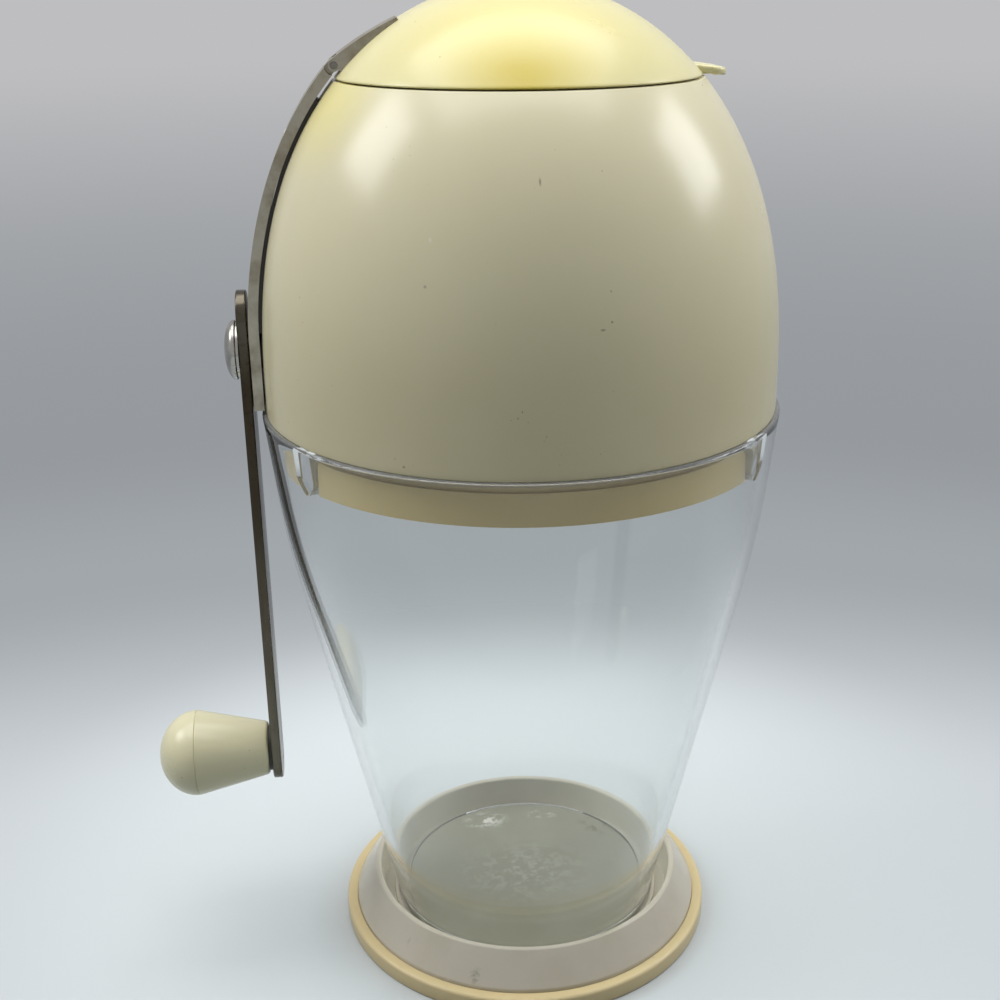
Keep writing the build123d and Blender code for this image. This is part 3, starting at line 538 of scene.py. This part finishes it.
# Crank arm: its dark tone and the darker band near its upper end are partly grime, partly painted shade for
# the dark room it reflects.
arm_look = metal(
    "arm_chrome", colour(106, 102, 90), colour(62, 54, 40), 0.24, (1.0, 1.0, 0.2),
    ((-68.8, 0, 156), (12, 14, 46)),
    ((0.07, 0.0), (0.135, 0.8), (0.158, 0.8), (0.172, 0.25)))
nut_look = metal("nut_chrome", colour(186, 184, 178), colour(96, 90, 80), 0.24)
dark_steel = metal("turned_steel", colour(150, 148, 142), colour(84, 80, 72), 0.32)
blade_look = metal("blade_steel", colour(170, 170, 168), colour(112, 110, 104), 0.28)
inner_look = plain("inner_plastic", colour(214, 208, 186), colour(186, 176, 146), 0.5)
bearing_look = plain("bearing_plastic", colour(44, 42, 40), colour(62, 58, 52), 0.55)
tumbler_look = clear_look("tumbler_clear")
cup_look = smoky_look("cup_smoky", colour(214, 207, 191), colour(198, 189, 166), 0.12, 0.14, [
    ((-36, -31, 12), (3, 3, 4), DIRT, 0.7),
    ((-19, -45, 9), (3, 3, 4), DIRT, 0.8)])
disc_look = smoky_look("disc_frosted", colour(146, 144, 126), colour(164, 162, 147), 0.08, 0.45, [
    ((-9, 27, 9), (9, 6, 2), LIMESCALE, 0.9),
    ((9, 28, 9), (6, 4, 2), LIMESCALE, 0.7),
    ((0, 0, 9), (26, 20, 2), colour(196, 195, 182), 0.4),
    ((26, 20, 9), (9, 8, 2), colour(112, 104, 84), 0.9)])

node_looks = {
    ring_look: ("base_pad", "base_ring"),
    cup_look: ("base_cup",),
    tumbler_look: ("container",),
    disc_look: ("container_floor",),
    hood_look: ("hood",),
    lid_look: ("lid",),
    chassis_look: ("chassis",),
    inner_look: ("crusher_box", "comb_front", "comb_back", "hopper"),
    strap_look: ("strap", "hinge_leaf"),
    bearing_look: ("outer_bush", "inner_bushes", "knob_washer"),
    dark_steel: ("strap_spacers", "strap_screws", "hinge_pin", "leaf_screws", "chassis_screws", "comb_screws",
                 "main_shaft", "handle_spindle"),
    blade_look: ("toothed_blades", "blade_spacers", "circlip"),
    arm_look: ("crank_arm",),
    nut_look: ("crank_washer", "dome_nut"),
    knob_look: ("knob_grip", "knob_cap"),
}


# ---------------------------------------------------------------- dressed pieces
def dress(obj, mat):
    obj.data.materials.clear()
    obj.data.materials.append(mat)


def add_to(obj, body, mat):
    """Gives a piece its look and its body."""
    dress(obj, mat)
    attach(obj, body)


def stand_for(obj, body, slot, mat, *nodes):
    """A piece shown in place of CAD nodes."""
    add_to(obj, body, mat)
    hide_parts(*nodes)


def foot_ring():
    outline = [(RING_BORE, 0), (RING_RADIUS, 0), (RING_RADIUS, RING_HEIGHT), (RING_STEP_RADIUS, RING_HEIGHT),
               (RING_STEP_RADIUS, PAD_HEIGHT), (RING_BORE, PAD_HEIGHT)]
    return lathe("foot_ring", rounded(outline, [0.3, 0.7, 0.9, 0.25, 0, 0]))


def foot_cup():
    """Flared foot with a hollow skirt, an open well and a low rib on its floor."""
    slope = (CUP_HEIGHT - SKIRT_TOP) / (SKIRT_RADIUS - CREST_RADIUS)
    hollow = SKIRT_RADIUS - SKIRT_WALL
    corners = [
        (0, PAD_HEIGHT, 0), (CUP_PLUG_RADIUS, PAD_HEIGHT, 0.5),
        (hollow - HOLLOW_RUN, HOLLOW_LOW + HOLLOW_RUN * slope, 0.9), (hollow, HOLLOW_LOW, 0.4),
        (hollow, PAD_HEIGHT, 0.2), (SKIRT_RADIUS, PAD_HEIGHT, 0.25), (SKIRT_RADIUS, SKIRT_TOP, 1.2),
        (CREST_RADIUS, CUP_HEIGHT, 0.7), (WELL_RADIUS, CUP_HEIGHT, 0.7), (WELL_FOOT_RADIUS, CUP_FLOOR, 0.8),
        (RIB_RADII[1], CUP_FLOOR, 0.2), (RIB_RADII[1], RIB_TOP, 0.2), (RIB_RADII[0], RIB_TOP, 0.2),
        (RIB_RADII[0], CUP_FLOOR, 0.1), (0, CUP_FLOOR, 0)]
    return lathe("foot_cup", rounded([c[:2] for c in corners], [c[2] for c in corners]))


def tumbler_shell():
    """Tapered wall with a step at its foot for the disc."""
    drop = RIM_HEIGHT - TUMBLER_BOTTOM
    side = [RIM_HEIGHT - drop * i / TUMBLER_STEPS for i in range(1, TUMBLER_STEPS - 1)]
    step = tumbler_radius(DISC_TOP) - DISC_EDGE_INSET
    outline = [(tumbler_radius(z), z) for z in side]
    foot_corner = len(outline)
    outline += [(tumbler_radius(TUMBLER_BOTTOM), TUMBLER_BOTTOM), (step, TUMBLER_BOTTOM), (step, DISC_TOP)]
    outline += [(tumbler_radius(z) - TUMBLER_WALL, z) for z in [DISC_TOP] + side[::-1]]
    outline += [(RIM_RADIUS - TUMBLER_WALL, RIM_HEIGHT), (RIM_RADIUS, RIM_HEIGHT)]
    radii = [0.0] * len(outline)
    radii[foot_corner] = 2.0
    radii[-1] = radii[-2] = 0.8
    return lathe("tumbler", rounded(outline, radii), 224)


def lug(azimuth):
    """Drop-shaped block that reaches into the wall inside the rim."""
    shape = rounded(
        [(-LUG_HALF_WIDTH, LUG_TOP), (LUG_HALF_WIDTH, LUG_TOP), (LUG_HALF_WIDTH, LUG_SHOULDER), (0, LUG_TIP),
         (-LUG_HALF_WIDTH, LUG_SHOULDER)], [1.0, 1.0, 2.5, 1.6, 2.5])
    ca, sa = cos(radians(azimuth)), sin(radians(azimuth))
    verts = [(r * ca - w * sa, r * sa + w * ca, h) for r in LUG_REACH for w, h in shape]
    return mesh_object("lug", verts, prism_faces(len(shape)))


def tumbler():
    """Tumbler with its three lugs joined on."""
    obj = tumbler_shell()
    for azimuth in LUG_AZIMUTHS:
        block = lug(azimuth)
        union = obj.modifiers.new("lug", "BOOLEAN")
        union.operation, union.object, union.solver = "UNION", block, "EXACT"
        work_in_modifiers(obj)
        bpy.data.objects.remove(block)
    obj.data.shade_smooth()
    obj.data.set_sharp_from_angle(angle=radians(SHARP_ANGLE))
    return obj


def tumbler_floor():
    edge = tumbler_radius(DISC_TOP) - DISC_EDGE_INSET - DISC_GAP
    outline = [(0, TUMBLER_BOTTOM), (edge, TUMBLER_BOTTOM), (edge, DISC_TOP), (0, DISC_TOP)]
    return lathe("tumbler_floor", rounded(outline, [0, 0.3, 0.3, 0]), 128)


def two_skins(outer, inner, outer_ends, inner_ends):
    """Closed outline from an outer and an inner run, with the radii of their end corners."""
    radii = [0.0] * (len(outer) + len(inner))
    radii[0], radii[len(outer) - 1] = outer_ends
    radii[-1], radii[len(outer)] = inner_ends
    return rounded(outer + inner[::-1], radii)


def hood_shell():
    outer = egg_run(RIM_HEIGHT, HOOD_TOP, 0.0, 64)
    inner = egg_run(RIM_HEIGHT, HOOD_TOP, -HOOD_WALL, 48)
    return lathe("hood_shell", two_skins(outer, inner, (0.4, 0.4), (0.3, 0.3)), 256)


def lid_dome():
    return lathe("lid_dome", two_skins(crown(0.0, 40), crown(-LID_WALL, 34), (0.4, 0.0), (0.3, 0.0)), 256)


def lid_lip():
    outline = [(LIP_RADII[0], LIP_BOTTOM), (LIP_RADII[1], LIP_BOTTOM), (LIP_RADII[1], LIP_TOPS[1]),
               (LIP_RADII[0], LIP_TOPS[0])]
    return lathe("lid_lip", rounded(outline, [0.3, 0.3, 0, 0]))


def thumb_tab():
    """Flat rounded tab that grows out of the lid's edge."""
    plan = rounded(
        [(TAB_ROOT, -TAB_HALF_WIDTH), (TAB_TIP, -TAB_HALF_WIDTH), (TAB_TIP, TAB_HALF_WIDTH),
         (TAB_ROOT, TAB_HALF_WIDTH)], [0, TAB_CORNER, TAB_CORNER, 0], 9)
    verts = [(x, y, TAB_UNDERSIDE - TAB_DROOP * max(x - TAB_DROOP_START, 0) / TAB_DROOP_RUN) for x, y in plan]
    verts += [(x, y, TAB_TOP - TAB_FALL * max(x - TAB_FALL_START, 0)) for x, y in plan]
    obj = mesh_object("thumb_tab", verts, prism_faces(len(plan)))
    bevel = obj.modifiers.new("edge", "BEVEL")
    bevel.width, bevel.segments, bevel.angle_limit = TAB_EDGE * MM, 4, radians(50)
    work_in_modifiers(obj)
    obj.data.shade_smooth()
    return obj


def strap_gap_shade():
    """Thin dark strip that fills the gap between strap and hood: painted shade for the gap's deep shadow."""
    rise = GAP_SHADE_HIGH - GAP_SHADE_LOW
    heights = [GAP_SHADE_LOW + rise * i / GAP_SHADE_STEPS for i in range(GAP_SHADE_STEPS + 1)]
    verts = []
    for out in (GAP_SHADE_INNER, GAP_SHADE_OUTER):
        for y in (-GAP_SHADE_HALF_WIDTH, GAP_SHADE_HALF_WIDTH):
            for height in heights:
                radius, level = egg_point(height, out)
                depth = sqrt(radius**2 - y**2) if out == GAP_SHADE_INNER else radius
                verts.append((-depth, y, level))
    count = len(heights)
    faces = []
    for i in range(count - 1):
        for a, b in ((0, 1), (1, 3), (3, 2), (2, 0)):
            faces.append((a * count + i, b * count + i, b * count + i + 1, a * count + i + 1))
    for i in (0, count - 1):
        faces.append((i, count + i, 3 * count + i, 2 * count + i))
    return mesh_object("strap_gap_shade", verts, faces)


def knob_body():
    """Cone of the knob with a bore and a pocket for the spindle's head."""
    pocket = KNOB_SEAM - KNOB_POCKET_DEPTH
    outline = [(KNOB_BORE, KNOB_START), (KNOB_NECK_RADIUS, KNOB_START), (KNOB_RADIUS, KNOB_SEAM),
               (KNOB_POCKET_RADIUS, KNOB_SEAM), (KNOB_POCKET_RADIUS, pocket), (KNOB_BORE, pocket)]
    return lathe("knob_body", rounded(outline, [0.2, 1.1, 0.22, 0, 0, 0], 6), 128, along_crank(KNOB_HEIGHT))


def knob_end():
    """Domed end of the knob with a plug for the pocket."""
    plug = KNOB_SEAM - CAP_PLUG_LENGTH
    start = KNOB_SEAM + CAP_CHAMFER
    outline = [(0, plug), (CAP_PLUG_RADIUS, plug), (CAP_PLUG_RADIUS, KNOB_SEAM),
               (KNOB_RADIUS - CAP_CHAMFER, KNOB_SEAM), (KNOB_RADIUS, start)]
    return lathe("knob_end", outline + dome(KNOB_RADIUS, start, CAP_RISE, 24), 128, along_crank(KNOB_HEIGHT))


def cap_nut():
    """Domed nut on the shaft's end."""
    start = NUT_START + NUT_RIM
    outline = [(NUT_BORE, NUT_START), (NUT_FOOT_RADIUS, NUT_START), (NUT_RADIUS, NUT_START + NUT_EDGE),
               (NUT_RADIUS, start)]
    outline += dome(NUT_RADIUS, start, NUT_RISE, 20)
    outline += [(0.0, NUT_START + NUT_SOCKET), (NUT_BORE, NUT_START + NUT_SOCKET)]
    return lathe("cap_nut", outline, 96, along_crank(SHAFT_HEIGHT))


for look, nodes in node_looks.items():
    for node in nodes:
        dress(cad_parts[node], look)

stand_for(foot_ring(), "base", "cream_plastic", ring_look, "base_ring")
stand_for(foot_cup(), "base", "smoky_plastic", cup_look, "base_cup")
stand_for(tumbler(), "container", "clear_plastic", tumbler_look, "container")
stand_for(tumbler_floor(), "container", "frosted_plastic", disc_look, "container_floor")
stand_for(hood_shell(), "head", "cream_plastic", hood_look, "hood")
# Dark strip in the strap's gap: painted shade.
add_to(strap_gap_shade(), "head", bearing_look)
stand_for(lid_dome(), "lid", "cream_plastic", lid_look, "lid")
add_to(lid_lip(), "lid", lid_look)
add_to(thumb_tab(), "lid", lid_look)
stand_for(knob_body(), "knob", "cream_plastic", knob_look, "knob_grip")
stand_for(knob_end(), "knob", "cream_plastic", knob_look, "knob_cap")
stand_for(cap_nut(), "crank", "crank_chrome", nut_look, "dome_nut")


# ---------------------------------------------------------------- stage, light and camera (m)
FLOOR_RINGS = (0.3, 1.0, 3.0, 12.0, 60.0)
FLOOR_SEGMENTS = 96
SHADOW_REACH = ((0.08, 0.0), (0.2, 1.0))
BACKDROP_SHIFT = (0.04, 0.34, 0.0)
LOG_OFFSET = 0.001
ROOM_GREY = colour(190, 190, 192)
ROOM_STOPS = ((0.42, colour(206, 212, 216)), (0.6, colour(162, 167, 171)), (0.8, colour(150, 154, 158)),
              (5.0, ROOM_GREY))


def stage_look():
    """Paper floor, painted darker towards +X as shade, that takes the shadow near the object and fades into
    the soft grey room far off.
    """
    look = Look("stage_paper")
    seen = look.seen_rays()
    # Paper colour darker towards +X: painted shade on the floor.
    paper_side_shade = look.mix(
        look.ramp(look.axis(0), ((-0.1, 0.0), (0.22, 1.0))), colour(204, 210, 212), colour(192, 198, 201))
    look.put(Base_Color=look.mix(seen, colour(150, 154, 156), paper_side_shade), Roughness=0.9, Specular_IOR_Level=0.1)
    away = look.math("ADD", look.length(look.mapped("POINT", BACKDROP_SHIFT)), LOG_OFFSET)
    stops = [(0.5 + 0.5 * log10(distance + LOG_OFFSET), tone) for distance, tone in ROOM_STOPS]
    glow = look.new("ShaderNodeEmission")
    look.join(look.colour_ramp(look.halved(look.math("LOGARITHM", away, 10.0)), stops), glow.inputs[0])
    far = look.math("MULTIPLY", seen, look.ramp(look.length(look.coords), SHADOW_REACH))
    look.show(look.mix_shader(far, look.shader.outputs[0], glow.outputs[0]))
    return look.mat


def paper_floor():
    """Round floor, finer near the object."""
    turns = [2 * pi * k / FLOOR_SEGMENTS for k in range(FLOOR_SEGMENTS)]
    verts = [(0.0, 0.0, 0.0)] + [(r / MM * cos(a), r / MM * sin(a), 0.0) for r in FLOOR_RINGS for a in turns]
    pairs = [(k, (k + 1) % FLOOR_SEGMENTS) for k in range(FLOOR_SEGMENTS)]
    faces = [(0, 1 + k, 1 + t) for k, t in pairs]
    for i in range(len(FLOOR_RINGS) - 1):
        a, b = 1 + i * FLOOR_SEGMENTS, 1 + (i + 1) * FLOOR_SEGMENTS
        faces += [(a + k, b + k, b + t, a + t) for k, t in pairs]
    obj = mesh_object("paper_floor", verts, faces, 180)
    obj.data.materials.append(stage_look())


def studio_world():
    """Soft room: bright above, darker low down and in front, and one plain grey where it is seen."""
    world = bpy.data.worlds.new("studio")
    bpy.context.scene.world = world
    world.use_nodes = True
    room = Nodes(world.node_tree)
    direction = room.new("ShaderNodeTexCoord").outputs["Generated"]

    def tone_by(index, stops):
        places = [(0.5 + 0.5 * place, tone + (1.0,)) for place, tone in stops]
        return room.colour_ramp(room.halved(room.part(direction, index)), places, False)

    height = tone_by(2, ((-0.2, (0.12, 0.12, 0.12)), (0.45, (0.42, 0.43, 0.43)), (0.66, (0.62, 0.63, 0.64)),
                         (0.78, (1.0, 1.02, 1.04))))
    depth = tone_by(1, ((-0.85, (0.22, 0.22, 0.2)), (0.1, (1.0, 1.0, 1.0))))
    light = world.node_tree.nodes["Background"]
    light.inputs["Strength"].default_value = 0.6
    room.join(room.mix(1.0, height, depth, "MULTIPLY"), light.inputs["Color"])
    backdrop = room.new("ShaderNodeBackground")
    backdrop.inputs["Color"].default_value = ROOM_GREY
    both = room.mix_shader(room.seen_rays(), light.outputs[0], backdrop.outputs[0])
    room.join(both, world.node_tree.nodes["World Output"].inputs["Surface"])


def lamp(name, place, target, width, depth, power, tint=(1, 1, 1)):
    data = bpy.data.lights.new(name, "AREA")
    data.shape = "RECTANGLE"
    data.size, data.size_y = width, depth
    data.energy = power
    data.color = tint
    obj = bpy.data.objects.new(name, data)
    bpy.context.scene.collection.objects.link(obj)
    obj.location = place
    obj.rotation_euler = (Vector(target) - Vector(place)).to_track_quat("-Z", "Y").to_euler()


def matched_camera():
    """Camera fitted to the photo's rims and outlines."""
    turn, pitch, roll = radians(7.0), radians(90.0 - 20.96), radians(-0.47)
    distance, height = 0.343, 0.2563
    data = bpy.data.cameras.new("camera")
    data.sensor_width = 36.0
    data.lens = 1.386 * data.sensor_width
    data.shift_x = -0.0218
    data.clip_start = 0.01
    eye = bpy.data.objects.new("camera", data)
    bpy.context.scene.collection.objects.link(eye)
    eye.matrix_world = (
        Matrix.Translation((-distance * sin(turn), -distance * cos(turn), height))
        @ Matrix.Rotation(-turn, 4, "Z")
        @ Matrix.Rotation(pitch, 4, "X")
        @ Matrix.Rotation(roll, 4, "Z")
    )
    bpy.context.scene.camera = eye


paper_floor()
studio_world()
lamp("top_soft", (0.0, 0.1, 1.35), (0.0, 0.05, 0.1), 1.5, 1.1, 16.0)
lamp("right_soft", (1.05, 0.08, 0.75), (0.0, 0.0, 0.2), 0.5, 0.5, 4.6, (0.97, 0.98, 1.0))
lamp("left_soft", (-0.94, 0.1, 0.92), (0.0, 0.0, 0.2), 0.5, 0.5, 5.0, (0.98, 0.99, 1.0))
matched_camera()
bpy.context.scene.view_settings.view_transform = "Standard"
